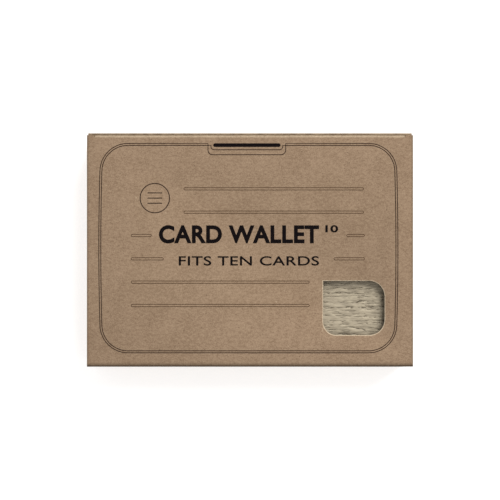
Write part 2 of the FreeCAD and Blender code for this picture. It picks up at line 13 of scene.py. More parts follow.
import bmesh
import bpy
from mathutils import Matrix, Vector


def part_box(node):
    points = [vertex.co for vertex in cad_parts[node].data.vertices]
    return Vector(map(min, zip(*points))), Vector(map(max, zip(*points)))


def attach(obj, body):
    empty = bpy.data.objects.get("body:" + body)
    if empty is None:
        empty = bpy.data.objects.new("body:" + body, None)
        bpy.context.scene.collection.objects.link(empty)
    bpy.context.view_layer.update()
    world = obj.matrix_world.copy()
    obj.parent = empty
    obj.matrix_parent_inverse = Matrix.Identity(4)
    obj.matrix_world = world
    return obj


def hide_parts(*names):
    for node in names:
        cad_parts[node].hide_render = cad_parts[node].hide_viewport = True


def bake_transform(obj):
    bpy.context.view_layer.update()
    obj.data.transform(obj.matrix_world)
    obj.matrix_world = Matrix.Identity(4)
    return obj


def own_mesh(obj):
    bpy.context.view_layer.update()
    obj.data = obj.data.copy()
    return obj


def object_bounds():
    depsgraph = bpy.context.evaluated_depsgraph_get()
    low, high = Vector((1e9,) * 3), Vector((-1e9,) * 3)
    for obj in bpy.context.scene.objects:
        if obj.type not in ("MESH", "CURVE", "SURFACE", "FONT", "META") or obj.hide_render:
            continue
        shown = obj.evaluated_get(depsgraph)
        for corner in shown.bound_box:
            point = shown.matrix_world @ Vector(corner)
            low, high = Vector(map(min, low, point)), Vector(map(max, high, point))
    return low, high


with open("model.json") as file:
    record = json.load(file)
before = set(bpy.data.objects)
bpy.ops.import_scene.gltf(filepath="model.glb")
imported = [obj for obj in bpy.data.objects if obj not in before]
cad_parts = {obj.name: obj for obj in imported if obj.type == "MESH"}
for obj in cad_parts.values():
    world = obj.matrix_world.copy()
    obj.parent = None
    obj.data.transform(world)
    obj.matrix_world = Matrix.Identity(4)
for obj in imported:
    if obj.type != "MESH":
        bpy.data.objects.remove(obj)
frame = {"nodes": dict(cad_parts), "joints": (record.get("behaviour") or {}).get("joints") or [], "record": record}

MM = 0.001
cad_low, cad_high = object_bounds()
BODY_OF = {node: body for body, nodes in frame["record"]["behaviour"]["bodies"].items()
           for node in nodes}
SLOT_OF = {part["node"]: part["material_slot"] for part in frame["record"]["subparts"]}

# %% [markdown]
# ## Floor, camera and light
# A carton is drawn best from straight above, through a long lens, so its sides vanish and its lid
# stays square. One broad lamp stands high beyond the tuck edge, to the right: it lights that crease
# and leaves a soft shadow inside the window. The floor is a light table, a white sheet that glows a
# little round the carton, so that the carton's own shadow on it stays pale.

# %% Stage
LENS = 120.0
SENSOR = 36.0
VIEW_WIDTH = 183.9 * MM  # width that the picture covers at the lid's face
LID_TOP = cad_high.z
SKY = 0.55
KEY_PLACE = (0.50, 0.66, 0.90)
KEY_SIZE = 0.80
KEY_WATTS = 12.9
TABLE_GLOW = 0.55


def new_object(name, mesh):
    made = bpy.data.objects.new(name, mesh)
    bpy.context.scene.collection.objects.link(made)
    return made


def facing_out(mesh, merge=0.0):
    """Joins points closer than merge, if it is given, and turns every face outwards."""
    shape = bmesh.new()
    shape.from_mesh(mesh)
    if merge:
        bmesh.ops.remove_doubles(shape, verts=shape.verts, dist=merge)
    bmesh.ops.recalc_face_normals(shape, faces=shape.faces)
    shape.to_mesh(mesh)
    shape.free()
    return mesh


def mesh_from(name, points, faces):
    mesh = bpy.data.meshes.new(name)
    mesh.from_pydata([tuple(p) for p in points], [], faces)
    return facing_out(mesh)


def aim(thing, place, target):
    thing.location = place
    thing.rotation_euler = (Vector(target) - Vector(place)).to_track_quat("-Z", "Y").to_euler()


camera = new_object("camera", bpy.data.cameras.new("camera"))
camera.data.lens = LENS
camera.data.sensor_width = SENSOR
camera.data.clip_end = 10.0
camera.location = (0, 0, LID_TOP + VIEW_WIDTH * LENS / SENSOR)
bpy.context.scene.camera = camera

FLOOR_HALF = 3.0
floor = new_object("floor", mesh_from("floor", [(x, y, 0) for x, y in (
    (-FLOOR_HALF, -FLOOR_HALF), (FLOOR_HALF, -FLOOR_HALF), (FLOOR_HALF, FLOOR_HALF),
    (-FLOOR_HALF, FLOOR_HALF))], [(0, 1, 2, 3)]))

world = bpy.data.worlds.new("studio")
world.use_nodes = True
world.node_tree.nodes["Background"].inputs["Color"].default_value = (1.0, 1.0, 1.0, 1)
world.node_tree.nodes["Background"].inputs["Strength"].default_value = SKY
bpy.context.scene.world = world
bpy.context.scene.view_settings.view_transform = "Standard"
key = bpy.data.lights.new("key", "AREA")
key.shape = "DISK"
key.size = KEY_SIZE
key.energy = KEY_WATTS
key.color = (1.0, 0.985, 0.96)
aim(new_object("key", key), KEY_PLACE, (0, 0, LID_TOP))
print("camera height", round(camera.location.z, 3))

# %% [markdown]
# ## Writing materials as sums
# A material is a network of nodes. Wrapping a socket in a small class lets a pattern be written as
# a sum, such as `base + 0.3 * grain`, and each sign adds its own Math node. The same class works in
# Geometry Nodes, because they use the same Math node.

# %% The socket wrapper
class Wire:
    """A node's output. Sums with numbers or other wires add Math nodes to the same tree."""

    def __init__(self, tree, socket):
        self.tree = tree
        self.socket = socket

    def make(self, kind, options=None, sockets=None, output=0):
        return add_node(self.tree, kind, options, sockets, output)

    def math(self, operation, *others, swap=False):
        values = [self, *others]
        if swap:
            values.reverse()
        return self.make("ShaderNodeMath", {"operation": operation}, dict(enumerate(values)))

    def __add__(self, other):
        return self.math("ADD", other)

    def __sub__(self, other):
        return self.math("SUBTRACT", other)

    def __mul__(self, other):
        return self.math("MULTIPLY", other)

    def __rsub__(self, other):
        return self.math("SUBTRACT", other, swap=True)

    __radd__ = __add__
    __rmul__ = __mul__

    def ramp(self, low, high):
        """0 below low, 1 above high, smooth between."""
        return self.make("ShaderNodeMapRange", {"interpolation_type": "SMOOTHSTEP", "clamp": True},
                         {"Value": self, "From Min": low, "From Max": high})

    def scaled(self, factors):
        return self.make("ShaderNodeVectorMath", {"operation": "MULTIPLY"}, {0: self, 1: factors})


def add_node(tree, kind, options=None, sockets=None, output=0):
    """Adds a node, sets its options, then fills its sockets with values or wires."""
    node = tree.nodes.new(kind)
    for key, value in (options or {}).items():
        setattr(node, key, value)
    for key, value in (sockets or {}).items():
        if isinstance(value, Wire):
            tree.links.new(value.socket, node.inputs[key])
        else:
            node.inputs[key].default_value = value
    return Wire(tree, node.outputs[output])


COLOUR_A, COLOUR_B, COLOUR_OUT = 6, 7, 2  # the Mix node's colour sockets


def mixed(factor, colour_a, colour_b):
    """A colour between two, by a wire from 0 to 1."""
    sockets = {0: factor, COLOUR_A: colour_a, COLOUR_B: colour_b}
    return factor.make("ShaderNodeMix", {"data_type": "RGBA"}, sockets, COLOUR_OUT)


def rgb(red, green, blue):
    """A colour as a paint chart gives it, 0 to 255, turned into light."""
    def light(level):
        share = level / 255
        return share / 12.92 if share <= 0.04045 else ((share + 0.055) / 1.055) ** 2.4
    return light(red), light(green), light(blue), 1.0


def new_material(name, **constants):
    """A material, its shader and the surface point in millimetres."""
    material = bpy.data.materials.new(name)
    material.use_nodes = True
    tree = material.node_tree
    shader = tree.nodes["Principled BSDF"]
    for key, value in constants.items():
        shader.inputs[key.replace("_", " ")].default_value = value
    place = add_node(tree, "ShaderNodeTexCoord", output="Object").scaled((1 / MM,) * 3)
    return material, shader, place


def noise(place, stretch=(1, 1, 1), scale=1.0, detail=2.0, roughness=0.5, distortion=0.0):
    return place.make("ShaderNodeTexNoise", None, {
        "Vector": place.scaled(stretch), "Scale": scale, "Detail": detail,
        "Roughness": roughness, "Distortion": distortion}, "Fac")


def feed(shader, socket, wire):
    wire.tree.links.new(wire.socket, shader.inputs[socket])


def bump(shader, height, strength, depth_mm):
    feed(shader, "Normal", height.make("ShaderNodeBump", None, {
        "Height": height, "Strength": strength, "Distance": depth_mm * MM}, "Normal"))


print("materials are built from", Wire.__name__)

# %% [markdown]
# ## Kraft board
# Kraft is unbleached wood pulp. Seen close, it is a felt of fibres: faint clouds a few millimetres
# across, finer fibres that lie mostly along the sheet, and scattered dark and pale flecks of bark.
# Noises at those sizes make it. The tuck flap's fold, which faces the lamp, is a paler copy of the
# board, a painted highlight, and the rim of the punched window is paler still, a painted highlight
# too. The lid's rear fold and its cut ends are darkened with painted shade.
# The cut edge shows the looser core in thin plies.

# %% Kraft material
KRAFT_DARK = rgb(133, 110, 88)
KRAFT_PALE = rgb(162, 138, 114)
KRAFT_FLECK = rgb(92, 74, 57)
KRAFT_FIBRE = rgb(190, 168, 142)
# Painted shade: the near-black brown laid on the lid's rear fold and cut ends.
PAINTED_SHADE_BROWN = rgb(28, 16, 8)
# Painted highlight: a paler kraft for the tuck flap's fold, which faces the lamp.
CREASE_HIGHLIGHT_DARK = rgb(150, 130, 108)
CREASE_HIGHLIGHT_PALE = rgb(186, 166, 141)
# Painted highlight: a paler kraft for the window's rim, where its cut edge catches the light.
RIM_HIGHLIGHT_DARK = rgb(176, 157, 132)
RIM_HIGHLIGHT_PALE = rgb(214, 197, 172)
# Where the painted shade starts and ends, in millimetres past the carton's rear, its ends and its top.
REAR_SHADE_SPAN, END_SHADE_SPAN, TOP_SHADE_SPAN = (-0.55, 2.0), (-1.0, 0.1), (-0.9, -0.25)
END_SHADE_SHARE = 0.42  # how dark the cut ends get, beside the rear fold


def painted_edge_shade(place):
    """How much painted shade darkens the lid, 0 to 1: most along its rear fold, a little at its cut ends."""
    x, y, z = (place.make("ShaderNodeSeparateXYZ", None, {0: place}, n) for n in range(3))
    rear, end, top = cad_low.y / MM, cad_high.x / MM, LID_TOP / MM
    fold = 1 - y.ramp(rear + REAR_SHADE_SPAN[0], rear + REAR_SHADE_SPAN[1])
    cut = END_SHADE_SHARE * x.math("ABSOLUTE").ramp(end + END_SHADE_SPAN[0], end + END_SHADE_SPAN[1])
    return fold.math("MAXIMUM", cut) * z.ramp(top + TOP_SHADE_SPAN[0], top + TOP_SHADE_SPAN[1])


def kraft_material(name, dark, pale):
    material, shader, place = new_material(name, Specular_IOR_Level=0.15)
    cloud = noise(place, scale=0.15, detail=2)
    felt = noise(place, (0.8, 1.3, 1.3), scale=0.9, detail=3, roughness=0.65)
    grit = noise(place, scale=2.8, detail=2)
    colour = mixed((0.15 * cloud + 0.40 * felt + 0.45 * grit).ramp(0.36, 0.64), dark, pale)
    fleck = noise(place, (1.6, 2.6, 2.0), scale=0.8, detail=1).ramp(0.71, 0.77)
    fibre = noise(place, (2.4, 0.9, 1.5), scale=0.8, detail=1, distortion=1.5).ramp(0.71, 0.78)
    colour = mixed(fleck * 0.6, colour, KRAFT_FLECK)
    colour = mixed(fibre * 0.6, colour, KRAFT_FIBRE)
    # Painted shade: the lid's rear fold and its cut ends are darkened towards a near-black brown.
    feed(shader, "Base Color", mixed(painted_edge_shade(place), colour, PAINTED_SHADE_BROWN))
    feed(shader, "Roughness", 0.76 + 0.16 * felt)
    bump(shader, 0.6 * felt + 0.4 * grit, 0.30, 0.06)
    return material


def core_material():
    """The board's cut edge: thin plies, slightly torn."""
    material, shader, place = new_material("kraft_core", Roughness=0.9, Specular_IOR_Level=0.1)
    plies = noise(place, (0.35, 0.35, 9.0), scale=1.0, detail=2)
    torn = noise(place, scale=3.0, detail=3)
    layers = (0.6 * plies + 0.4 * torn).ramp(0.36, 0.62)
    feed(shader, "Base Color", mixed(layers, rgb(122, 104, 84), rgb(158, 139, 115)))
    bump(shader, torn, 0.4, 0.08)
    return material


KRAFT = kraft_material("kraft_board", KRAFT_DARK, KRAFT_PALE)
# A paler copy of the kraft for the tuck flap's fold: a painted highlight.
HIGHLIT_CREASE_KRAFT = kraft_material("kraft_crease_highlight", CREASE_HIGHLIGHT_DARK, CREASE_HIGHLIGHT_PALE)
# A paler copy of the kraft for the window's rim: a painted highlight.
HIGHLIT_RIM_KRAFT = kraft_material("kraft_rim_highlight", RIM_HIGHLIGHT_DARK, RIM_HIGHLIGHT_PALE)
CORE = core_material()
print("kraft nodes", len(KRAFT.node_tree.nodes))

# %% [markdown]
# ## Ink, lacquer, plastic and steel
# The print is one dark brown-black ink, thinner where it has soaked into the board. The shell has a
# cream lacquer; its creases are painted darker, painted shade, and the swells between them paler, a
# painted highlight. The wallet's frames and pockets are black plastic with a fine moulded grain, and
# the small springs and pins are drawn steel.

# %% The other materials
def ink_material(name, colour, soaked):
    material, shader, place = new_material(name, Roughness=0.75, Specular_IOR_Level=0.04)
    worn = noise(place, scale=2.2, detail=4, roughness=0.7).ramp(0.45, 0.75)
    feed(shader, "Base Color", mixed(worn, colour, soaked))
    bump(shader, noise(place, scale=4.5), 0.2, 0.03)
    return material


FOLD_FAMILIES = ((1.7, 2.6, 1.0), (2.5, 4.6, 1.9), (1.3, 1.8, 2.7))  # pitch, drift in mm; seed


def wrinkles(sheet, width):
    """Broken creases that run along X, on a sheet in millimetres: where they are, and the swell
    between them. width is how much of the way from crease to crest a crease takes up."""
    height = sheet.make("ShaderNodeSeparateXYZ", None, {0: sheet}, 1)
    creases = 0.0
    for pitch, drift, seed in FOLD_FAMILIES:
        wander = noise(sheet, (0.10, 0.26, seed), detail=4, roughness=0.6)
        away = ((height + drift * wander) * (1 / pitch)).math("PINGPONG", 0.5) * 2
        there = noise(sheet, (0.24, 0.75, seed), detail=2).ramp(0.49, 0.58)
        creases = (1 - away.ramp(0.0, width)) * there + creases
    swell = noise(sheet, (0.25, 1.1, 1.0), detail=3, roughness=0.6) - 0.5
    return creases, swell


def lacquer_material():
    material, shader, place = new_material("shell_lacquer", Metallic=0.1, Specular_IOR_Level=0.4)
    sheet = add_node(material.node_tree, "ShaderNodeAttribute", {"attribute_name": "sheet"},
                     output="Vector")
    creases, swell = wrinkles(sheet, 0.17)
    patch = noise(place, scale=0.12, detail=3)
    colour = mixed(patch.ramp(0.35, 0.65), rgb(147, 136, 117), rgb(164, 152, 131))
    # Painted highlight: the crests of the swells are made paler, as if lit.
    colour = mixed((0.5 + 1.2 * swell).ramp(0.3, 0.8), colour, rgb(190, 178, 154))
    # Painted shade: the creases are darkened towards a dark brown.
    colour = mixed(creases * 0.85, colour, rgb(78, 67, 53))
    feed(shader, "Base Color", colour)
    feed(shader, "Roughness", 0.45 + 0.2 * patch)
    bump(shader, 0.5 * swell - creases, 0.9, 0.12)
    return material


def plastic_material(name, colour, sheen, rough, depth_mm):
    material, shader, place = new_material(name, Specular_IOR_Level=0.5)
    grain = noise(place, scale=3.5, detail=2)
    wear = noise(place, scale=0.15, detail=3).ramp(0.45, 0.7)
    feed(shader, "Base Color", mixed(wear, colour, sheen))
    feed(shader, "Roughness", rough + 0.12 * wear)
    bump(shader, grain, 0.3, depth_mm)
    return material


def steel_material():
    material, shader, place = new_material("drawn_steel", Metallic=1.0)
    drawn = noise(place, (0.3, 6.0, 6.0), scale=1.0, detail=3)
    feed(shader, "Base Color", mixed(drawn, rgb(146, 146, 149), rgb(178, 178, 181)))
    feed(shader, "Roughness", 0.36 + 0.18 * drawn)
    bump(shader, drawn, 0.15, 0.02)
    return material


GLOW_INSET = 1.0  # mm; the glow starts this far inside the carton's footprint


def floor_material():
    """A pale sheet that glows all round the carton, but not under it."""
    material, shader, place = new_material("floor_paper", Roughness=0.9, Specular_IOR_Level=0.1,
                                           Emission_Strength=TABLE_GLOW)
    x, y = (place.make("ShaderNodeSeparateXYZ", None, {0: place}, n).math("ABSOLUTE")
            for n in (0, 1))
    past_end = x - (cad_high.x / MM - GLOW_INSET)
    past_side = y - (cad_high.y / MM - GLOW_INSET)
    beyond = past_end.math("MAXIMUM", past_side).ramp(0, GLOW_INSET)
    feed(shader, "Emission Color", mixed(beyond, (0, 0, 0, 1), (1, 1, 1, 1)))
    cloud = noise(place, scale=0.02)
    feed(shader, "Base Color", mixed(cloud, (0.93,) * 3 + (1,), (0.95,) * 3 + (1,)))
    return material


INK = ink_material("ink_black", rgb(14, 10, 12), rgb(32, 25, 24))
LINE_INK = ink_material("ink_line", rgb(52, 38, 32), rgb(74, 57, 46))
FAINT_INK = ink_material("ink_faint", rgb(82, 62, 46), rgb(100, 79, 60))
LACQUER = lacquer_material()
FRAME_PLASTIC = plastic_material("frame_plastic", rgb(38, 38, 40), rgb(50, 50, 52), 0.45, 0.05)
POCKET_PLASTIC = plastic_material("pocket_plastic", rgb(56, 56, 60), rgb(72, 72, 76), 0.50, 0.03)
LATCH_PLASTIC = plastic_material("latch_plastic", rgb(26, 26, 28), rgb(34, 34, 36), 0.28, 0.02)
STEEL = steel_material()
floor.data.materials.append(floor_material())
FINISH = {"kraft_board": KRAFT, "wallet_shell": LACQUER, "wallet_frame": FRAME_PLASTIC,
          "pocket_plastic": POCKET_PLASTIC, "latch_plastic": LATCH_PLASTIC, "steel": STEEL}
print("finishes", sorted(FINISH))

# %% [markdown]
# ## Softening the CAD pieces
# Real board and moulded plastic have no perfectly sharp edge, and it is the thin highlight along an
# edge that tells the eye how thick a piece is. Each CAD piece is copied, its loose triangles are
# merged back into faces, and a Bevel modifier rounds what is left. The copy stands for the node.

# %% Soften
SMOOTH_ANGLE = math.radians(35)
FLAT_ANGLE = math.radians(1)
MERGE = 0.0005 * MM


def to_mesh(holder, name):
    """The evaluated object as a plain mesh; its modifiers are then gone."""
    graph = bpy.context.evaluated_depsgraph_get()
    mesh = bpy.data.meshes.new_from_object(holder.evaluated_get(graph), depsgraph=graph)
    mesh.name = name
    holder.modifiers.clear()
    holder.data = mesh
    return mesh


def smooth(mesh, angle=SMOOTH_ANGLE):
    mesh.shade_smooth()
    mesh.set_sharp_from_angle(angle=angle)


def merged_copy(node):
    """A copy of a CAD node's mesh with its triangles joined into clean faces."""
    mesh = frame["nodes"][node].data.copy()
    shape = bmesh.new()
    shape.from_mesh(mesh)
    bmesh.ops.remove_doubles(shape, verts=shape.verts, dist=MERGE)
    bmesh.ops.dissolve_limit(shape, angle_limit=FLAT_ANGLE, verts=shape.verts, edges=shape.edges)
    shape.to_mesh(mesh)
    shape.free()
    return mesh


def stand_for(piece, node):
    """Gives a piece its node's finish and puts it in the node's place."""
    piece.data.materials.clear()
    piece.data.materials.append(FINISH[SLOT_OF[node]])
    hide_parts(node)
    return piece


def soften(node, radius, share=None):
    """A copy of a CAD node with rounded edges, which stands for it. share, if given, takes an
    edge's two ends and says how much of the radius that edge gets, from 0 to 1."""
    name = node + "_soft"
    piece = new_object(name, merged_copy(node))
    bevel = piece.modifiers.new("edges", "BEVEL")
    bevel.width = radius
    bevel.segments = 2
    bevel.limit_method = "WEIGHT" if share else "ANGLE"
    bevel.angle_limit = SMOOTH_ANGLE
    if share:
        mesh = piece.data
        ends = [[mesh.vertices[v].co for v in edge.vertices] for edge in mesh.edges]
        weights = mesh.attributes.new("bevel_weight_edge", "FLOAT", "EDGE")
        weights.data.foreach_set("value", [share(*pair) for pair in ends])
    smooth(to_mesh(piece, name))
    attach(piece, BODY_OF[node])
    return stand_for(piece, node)


def show_core(piece, across):
    """Gives the cut edges of a board the core finish: the flat faces that turn away from across."""
    piece.data.materials.append(CORE)
    normal = Vector(across)
    for face in piece.data.polygons:
        flat = max(abs(c) for c in face.normal) > 0.999
        face.material_index = int(flat and abs(face.normal.dot(normal)) < 0.5)


BOARD_EDGE = 0.07 * MM
CORED_BOARDS = {"base_panel": (0, 0, 1), "rear_wall": (0, 1, 0), "front_wall": (0, 1, 0),
                "tuck_flap": (0, 1, 0)}  # and the way across each sheet
SIDE_BOARDS = [f"{wall}_{side}" for side in ("left", "right")
               for wall in ("side_wall", "rollover_wall", "corner_tab_front", "corner_tab_rear")]
for node, across in CORED_BOARDS.items():
    show_core(soften(node, BOARD_EDGE), across)
for node in SIDE_BOARDS:
    soften(node, BOARD_EDGE)
print("boards", len(CORED_BOARDS) + len(SIDE_BOARDS))

# %% The lid's panel
RIM_EDGE = 0.28 * MM
PANEL_MARGIN = 2 * MM  # the window lies at least this far inside the panel
panel_low, panel_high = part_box("lid_panel")


def in_window(point):
    return all(low + PANEL_MARGIN < c < high - PANEL_MARGIN
               for c, low, high in zip(point.xy, panel_low.xy, panel_high.xy))


def lid_share(a, b):
    """The window's rim is pressed down as it is punched; the creased edges stay sharp."""
    inside = in_window(a)
    upright = abs(a.z - b.z) > MERGE
    if inside != in_window(b) or not inside and (upright or abs(a.y - b.y) < MERGE):
        return 0.0
    upper = a.z > (panel_low.z + panel_high.z) / 2
    return 1.0 if upright or inside and upper else 0.5


lid_board = soften("lid_panel", RIM_EDGE, lid_share)
lid_board.data.materials.append(CORE)
lid_board.data.materials.append(HIGHLIT_RIM_KRAFT)
# The upward faces of the window's bevelled rim get the paler kraft, a painted highlight; other cut faces get the
# core.
for face in lid_board.data.polygons:
    if abs(face.normal.z) < 0.98:
        face.material_index = 2 if in_window(face.center) and face.normal.z > 0.1 else 1
print("lid panel faces", len(lid_board.data.polygons))

# %% [markdown]
# ## The two creases that bend
# Board folds at a scored line, where its outer plies stretch over a small radius. The lid's crease
# and the tuck flap's crease keep bending as the carton opens; each is a strip with many rows round
# its fold.

# %% Creases
CREASE_ROWS = 14
CREASE_COLUMNS = 60
BOARD = panel_high.z - panel_low.z


def strip(name, path, left, right):
    """A closed strip of board along X. The path lists its outer and inner points, (y, z) pairs."""
    columns, rows = CREASE_COLUMNS, len(path)
    loop = [outer for outer, _ in path] + [inner for _, inner in reversed(path)]
    points = [(left + (right - left) * c / columns, y, z)
              for c in range(columns + 1) for y, z in loop]
    count = 2 * rows
    faces = []
    for c in range(columns):
        for r in range(count):
            a, b = c * count + r, c * count + (r + 1) % count
            faces.append((a, b, b + count, a + count))
    faces.append(tuple(range(count)))
    faces.append(tuple(range(columns * count, (columns + 1) * count)))
    return mesh_from(name, points, faces)


def around(centre, outer, start, sweep):
    """Outer and inner points of a fold, from one angle in degrees round by a sweep."""
    found = []
    for r in range(CREASE_ROWS + 1):
        turn = math.radians(start + sweep * r / CREASE_ROWS)
        across, up = math.cos(turn), math.sin(turn)
        found.append(tuple((centre[0] + radius * across, centre[1] + radius * up)
                           for radius in (outer, outer - BOARD)))
    return found


def crease(node, path, skin):
    low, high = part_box(node)
    piece = new_object(node + "_bend", strip(node + "_bend", path, low.x, high.x))
    smooth(piece.data)
    piece.data.materials.append(skin)
    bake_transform(piece)
    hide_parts(node)
    return piece


def joint_place(name):
    return Vector(next(j for j in frame["joints"] if j["name"] == name)["pos_m"])


lid_hinge = joint_place("carton_lid_open")
tuck_hinge = joint_place("tuck_flap_fold")
crease_radius = LID_TOP - lid_hinge.z
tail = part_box("lid_crease")[0].z
rear_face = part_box("rear_wall")[0].y
lid_path = [((rear_face, tail), (rear_face + BOARD, tail))]
lid_path += around((lid_hinge.y, lid_hinge.z), crease_radius, 180, -90)
crease("lid_crease", lid_path, KRAFT)
TUCK_LEAN = 8.0  # degrees past upright that the flap leans inwards
tuck_path = around((tuck_hinge.y, tuck_hinge.z), crease_radius, 90, -90 - TUCK_LEAN)
# The tuck crease gets the paler copy of the kraft, a painted highlight where the fold faces the lamp.
crease("tuck_crease", tuck_path, HIGHLIT_CREASE_KRAFT)
print("crease radius", round(crease_radius / MM, 2), "mm")

# %% [markdown]
# ## The printed drawing
# The lid's face carries a drawing of the closed wallet, life size: a double outline, the latch's
# notch, and eight thin lozenges on six rows. Each line is a curve, and one Geometry Nodes tree
# sweeps a thin flat section along all of them, so that the ink stands a few hundredths of a
# millimetre proud.

# %% The outline of the wallet
front_low, front_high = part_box("front_shell")
back_low, back_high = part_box("back_shell")
CORNER = 10.3 * MM
BULGE = 0.75 * MM
ARC_STEPS = 14
WALLET_X = (back_high.x - back_low.x) / 2
WALLET_Y = (back_high.y - back_low.y) / 2


def arc(centre, radius, start, sweep, steps=ARC_STEPS):
    """Points round an arc; angles in degrees."""
    turns = [math.radians(start + sweep * n / steps) for n in range(steps + 1)]
    return [(centre[0] + radius * math.cos(t), centre[1] + radius * math.sin(t)) for t in turns]


def outline_quarter(corner_steps, side_steps):
    """A quarter of the plan, as (x, y, outward normal angle): half a bowed end, then the corner."""
    side_radius = (WALLET_Y ** 2 + BULGE ** 2) / (2 * BULGE)
    side_centre = WALLET_X - side_radius
    corner_y = WALLET_Y - CORNER
    corner_x = side_centre + math.sqrt((side_radius - CORNER) ** 2 - corner_y ** 2)
    touch = math.degrees(math.atan2(corner_y, corner_x - side_centre))
    found = []
    for (x, y), n in zip(arc((side_centre, 0), side_radius, 0, touch, side_steps),
                         range(side_steps)):
        found.append((x, y, touch * n / side_steps))
    for (x, y), n in zip(arc((corner_x, corner_y), CORNER, touch, 90 - touch, corner_steps),
                         range(corner_steps + 1)):
        found.append((x, y, touch + (90 - touch) * n / corner_steps))
    return found


def outline(corner_steps=ARC_STEPS, side_steps=8, long_steps=2):
    """The whole plan about the wallet's middle, anticlockwise, as (x, y, normal x, normal y)."""
    quarter = outline_quarter(corner_steps, side_steps)
    last_x, last_y, _ = quarter[-1]
    first = [(x, y, math.cos(math.radians(a)), math.sin(math.radians(a))) for x, y, a in quarter]
    half = first + [(last_x * (1 - 2 * n / long_steps), last_y, 0.0, 1.0)
                    for n in range(1, long_steps)]
    half += [(-x, y, -nx, ny) for x, y, nx, ny in reversed(first)]
    return half + [(-x, -y, -nx, -ny) for x, y, nx, ny in half[1:-1]]


def prism(points, axis, low, high):
    """A closed section swept along X (axis 0) or Z (axis 2); the points run round it."""
    def at(u, v, w):
        return (w, u, v) if axis == 0 else (u, v, w)

    count = len(points)
    corners = [at(u, v, w) for w in (low, high) for u, v in points]
    faces = [tuple(range(count)), tuple(range(count, 2 * count))]
    faces += [(n, (n + 1) % count, (n + 1) % count + count, n + count) for n in range(count)]
    return mesh_from("cutter", corners, faces)


print("outline points", len(outline()))

# %% The line-sweeping tree
def socket_id(group, name):
    return next(item.identifier for item in group.interface.items_tree if item.name == name)


def geometry_group(name, inputs):
    group = bpy.data.node_groups.new(name, "GeometryNodeTree")
    for label, kind in [("Geometry", "NodeSocketGeometry"), *inputs]:
        group.interface.new_socket(label, in_out="INPUT", socket_type=kind)
    group.interface.new_socket("Result", in_out="OUTPUT", socket_type="NodeSocketGeometry")
    entry = group.nodes.new("NodeGroupInput")
    wires = {label: Wire(group, entry.outputs[label]) for label in ["Geometry", *dict(inputs)]}
    return group, wires


def close_group(group, geometry, material):
    """Every tree ends in plain, painted geometry."""
    real = add_node(group, "GeometryNodeRealizeInstances", None, {"Geometry": geometry})
    painted = add_node(group, "GeometryNodeSetMaterial", None,
                       {"Geometry": real, "Material": material})
    last = group.nodes.new("NodeGroupOutput")
    group.links.new(painted.socket, last.inputs["Result"])


def run_group(holder, group, values):
    """Runs a tree on an object and keeps the result as its plain mesh."""
    modifier = holder.modifiers.new(group.name, "NODES")
    modifier.node_group = group
    for label, value in values.items():
        modifier[socket_id(group, label)] = value
    return to_mesh(holder, holder.name)


def line_group():
    group, wires = geometry_group("printed_line", [("Width", "NodeSocketFloat"),
                                                   ("Height", "NodeSocketFloat"),
                                                   ("Ink", "NodeSocketMaterial")])
    section = add_node(group, "GeometryNodeCurvePrimitiveQuadrilateral", None,
                       {"Width": wires["Width"], "Height": wires["Height"]})
    path = add_node(group, "GeometryNodeMeshToCurve", None, {"Mesh": wires["Geometry"]})
    upright = add_node(group, "GeometryNodeSetCurveNormal", {"mode": "Z_UP"}, {"Curve": path})
    swept = add_node(group, "GeometryNodeCurveToMesh", None,
                     {"Curve": upright, "Profile Curve": section, "Fill Caps": True})
    close_group(group, swept, wires["Ink"])
    return group


INK_HEIGHT = 0.05 * MM
INK_LEVEL = LID_TOP + 0.003 * MM  # middle of the ink's thickness
PRINT_X = -0.6 * MM  # the print sits a little off the board's middle
PRINT_Y = ((front_low + front_high) / 2).y
LINES = line_group()


def lid_print(piece):
    """Everything printed rides on the carton's lid."""
    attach(piece, "carton_lid")
    return piece


def printed(name, lines, width, ink):
    """Printed lines: each is (points, closed), in millimetres from the drawing's middle."""
    points, edges = [], []
    for line, closed in lines:
        first = len(points)
        points += [(PRINT_X + x * MM, PRINT_Y + y * MM, INK_LEVEL) for x, y in line]
        edges += pairwise(range(first, len(points)))
        if closed:
            edges.append((len(points) - 1, first))
    mesh = bpy.data.meshes.new(name)
    mesh.from_pydata(points, edges, [])
    piece = new_object(name, mesh)
    run_group(piece, LINES, {"Width": width * MM, "Height": INK_HEIGHT, "Ink": ink})
    return lid_print(piece)


print("line tree", LINES.name)

# %% Outline, latch and lozenges
LINE = 0.30
FAINT_LINE = 0.24
LINE_GAP = 0.72
HALF_WIDE = WALLET_Y / MM
NOTCH_HALF, NOTCH_DEEP, NOTCH_ROUND, NOTCH_MIDDLE = 14.3, 4.15, 1.7, -0.55
CUP_HALF, CUP_DEEP, CUP_ROUND = 13.2, 1.6, 1.2
BAR_HALF, BAR_THICK, BAR_RISE = 12.4, 1.35, 0.05
TURN_STEPS = 6
ROWS, ROW_PITCH, ROW_SHIFT = 6, 8.58, 0.35
ROW_END = 43.1
LOZENGE_HALF = 0.42
# Each lozenge's row, counted from the top, and its two ends.
LOZENGES = ((0, -23.7, 42.4), (1, -23.7, 42.4), (2, -ROW_END, -35.7), (2, 36.2, 42.7),
            (3, -ROW_END, -31.3), (3, 31.5, 42.7), (4, -ROW_END, 22.4), (5, -ROW_END, 22.4))


def wallet_line(inset):
    """The outline from the notch's left side, round by the bottom, to its right side."""
    ring = [((x - nx * inset * MM) / MM, (y - ny * inset * MM) / MM) for x, y, nx, ny in outline()]
    top = HALF_WIDE - inset - 1e-6
    left = next(n for n, (x, y) in enumerate(ring) if x < 0 and y > top)
    right = max(n for n, (x, y) in enumerate(ring[:left]) if x > 0 and y > top)
    return ring[left:] + ring[:right + 1]


def notch_side(sign, half, deep, rounding):
    """From the top edge down one side of the notch and round its corner."""
    x, y = NOTCH_MIDDLE + sign * half, HALF_WIDE
    turn = arc((x - sign * rounding, y - deep + rounding), rounding,
               180 if sign < 0 else 0, 90 if sign < 0 else -90, TURN_STEPS)
    return [(x, y), *turn]


